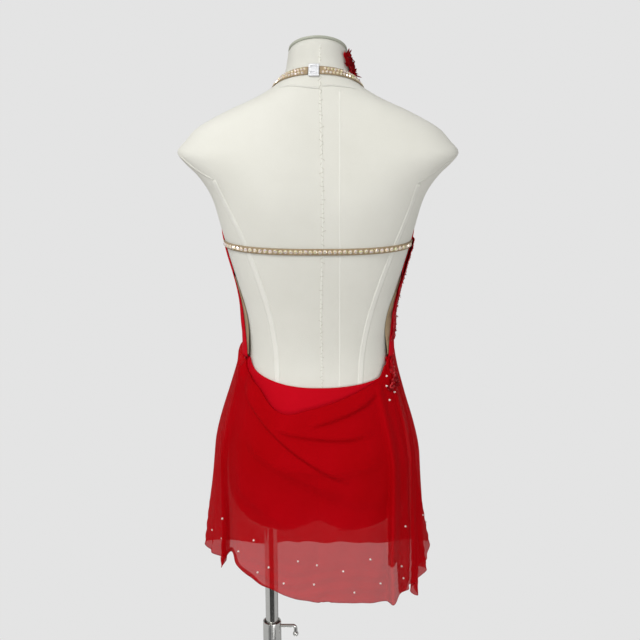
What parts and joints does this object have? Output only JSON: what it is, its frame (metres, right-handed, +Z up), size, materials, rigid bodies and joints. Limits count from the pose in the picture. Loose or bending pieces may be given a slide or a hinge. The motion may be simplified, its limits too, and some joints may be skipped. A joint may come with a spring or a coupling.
{
  "type": "lyrical dance dress on a limbless dress form stand",
  "caption": "Open-backed halter dance dress with a sheer cowl-draped skirt, worn on a limbless cloth-covered dress form that stands on a telescopic pole and round base.",
  "frame": {"origin": "on the floor, at the middle of the base plate's underside and under the middle of the form", "axes": "+Z up; the front of the dress faces -Y and its open back faces +Y; +X is the left side of the dress as worn"},
  "size_m": [0.41, 0.34, 1.5094],
  "materials": {
    "form_cloth": "matte woven cover",
    "cap_paint": "satin",
    "red_stretch": "soft stretch cloth",
    "red_mesh": "sheer power mesh",
    "red_lace": "lace set with sequins",
    "nude_stretch": "soft stretch cloth set with stones",
    "clear_plastic": "clear moulded",
    "chrome": "polished"
  },
  "bodies": {
    "stand": {"base_plate": "chrome", "outer_tube": "chrome"},
    "lock": {"lock_bolt": "chrome"},
    "pole": {"pole": "chrome"},
    "form": {"form": "form_cloth", "neck_cap": "cap_paint", "bodice": "red_stretch", "lining_left": "nude_stretch", "lining_right": "nude_stretch", "brief_front": "red_stretch", "brief_back": "red_stretch", "gusset": "red_stretch", "neck_band": "nude_stretch", "back_strap": "nude_stretch", "skirt_front": "red_mesh", "skirt_back": "red_mesh", "lace_side": "red_lace", "lace_hip": "red_lace", "lace_neck": "red_lace", "neck_clasp": "clear_plastic"}
  },
  "joints": [
    {"name": "lock_turn", "type": "hinge", "parent": "stand", "child": "lock", "pos_m": [0.0375, 0, 0.563], "axis": [1, 0, 0], "range_deg": [-360, 0]},
    {"name": "height", "type": "slide", "parent": "stand", "child": "pole", "axis": [0, 0, 1], "range_m": [-0.185, 0.24]},
    {"name": "turn", "type": "hinge", "parent": "pole", "child": "form", "pos_m": [0.0765, 0, 0.8], "axis": [0, 0, 1], "continuous": true}
  ]
}
